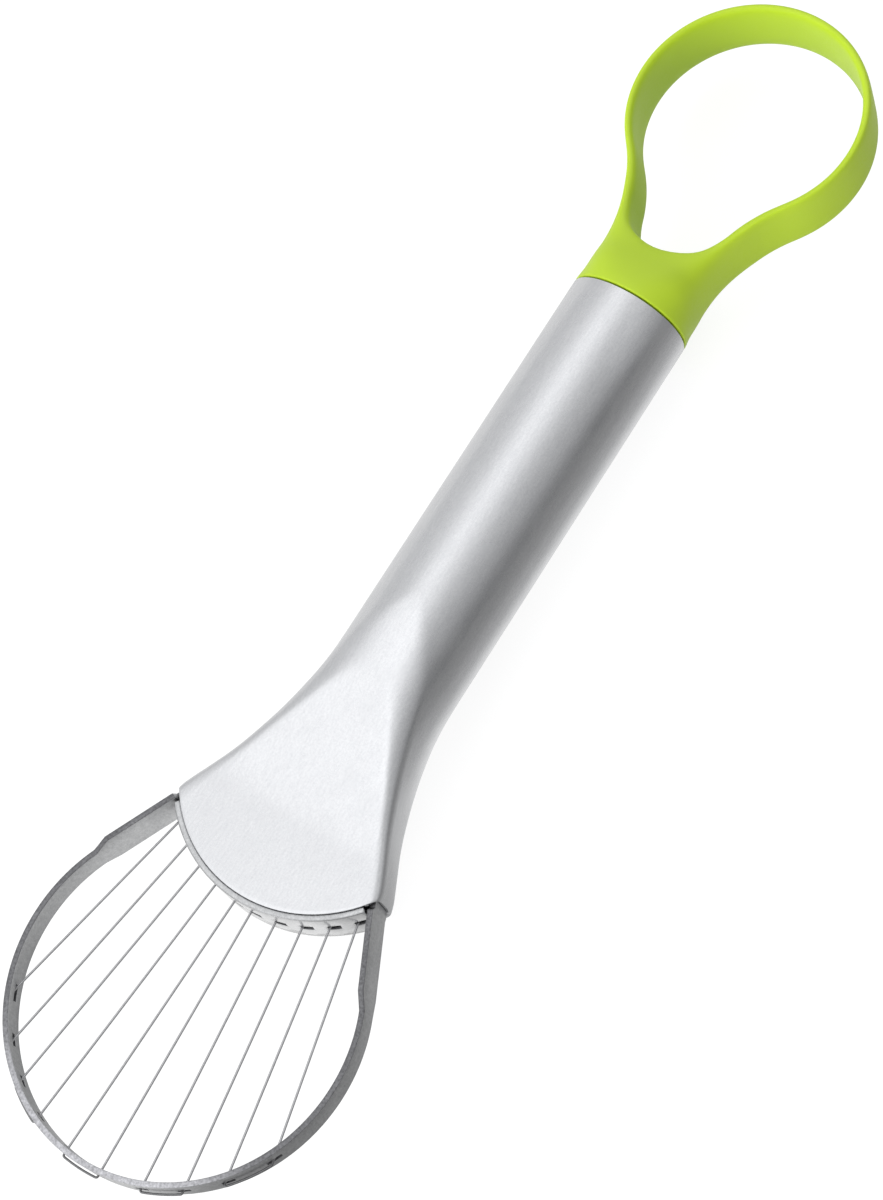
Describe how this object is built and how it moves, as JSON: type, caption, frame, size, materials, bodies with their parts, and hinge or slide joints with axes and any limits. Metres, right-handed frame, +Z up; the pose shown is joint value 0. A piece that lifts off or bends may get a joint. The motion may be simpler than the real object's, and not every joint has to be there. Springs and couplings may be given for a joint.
{
  "type": "avocado slicer",
  "caption": "Hand-held avocado slicer: steel handle flattened into a mouth that holds a ring of cutting wires, with a green moulded loop at the other end for lifting out the stone.",
  "frame": {"origin": "under the middle of the slicer's length and width, on the surface that it lies on", "axes": "+X along the handle towards the ring of wires, +Y across it, +Z up out of the flat side of the mouth"},
  "size_m": [0.2308, 0.0614, 0.022],
  "materials": {
    "steel": "satin",
    "wire": "drawn bright",
    "green": "satin"
  },
  "bodies": {
    "root": {"handle_tube": "steel", "cutter_band": "steel", "wire_bridge": "steel", "cutting_wire_1": "wire", "cutting_wire_2": "wire", "cutting_wire_3": "wire", "cutting_wire_4": "wire", "cutting_wire_5": "wire", "wire_stop_1": "steel", "wire_stop_2": "steel", "wire_stop_3": "steel", "wire_stop_4": "steel", "wire_stop_5": "steel", "wire_stop_6": "steel", "wire_stop_7": "steel", "wire_stop_8": "steel", "wire_stop_9": "steel", "wire_stop_10": "steel", "pit_scoop": "green"}
  },
  "joints": []
}
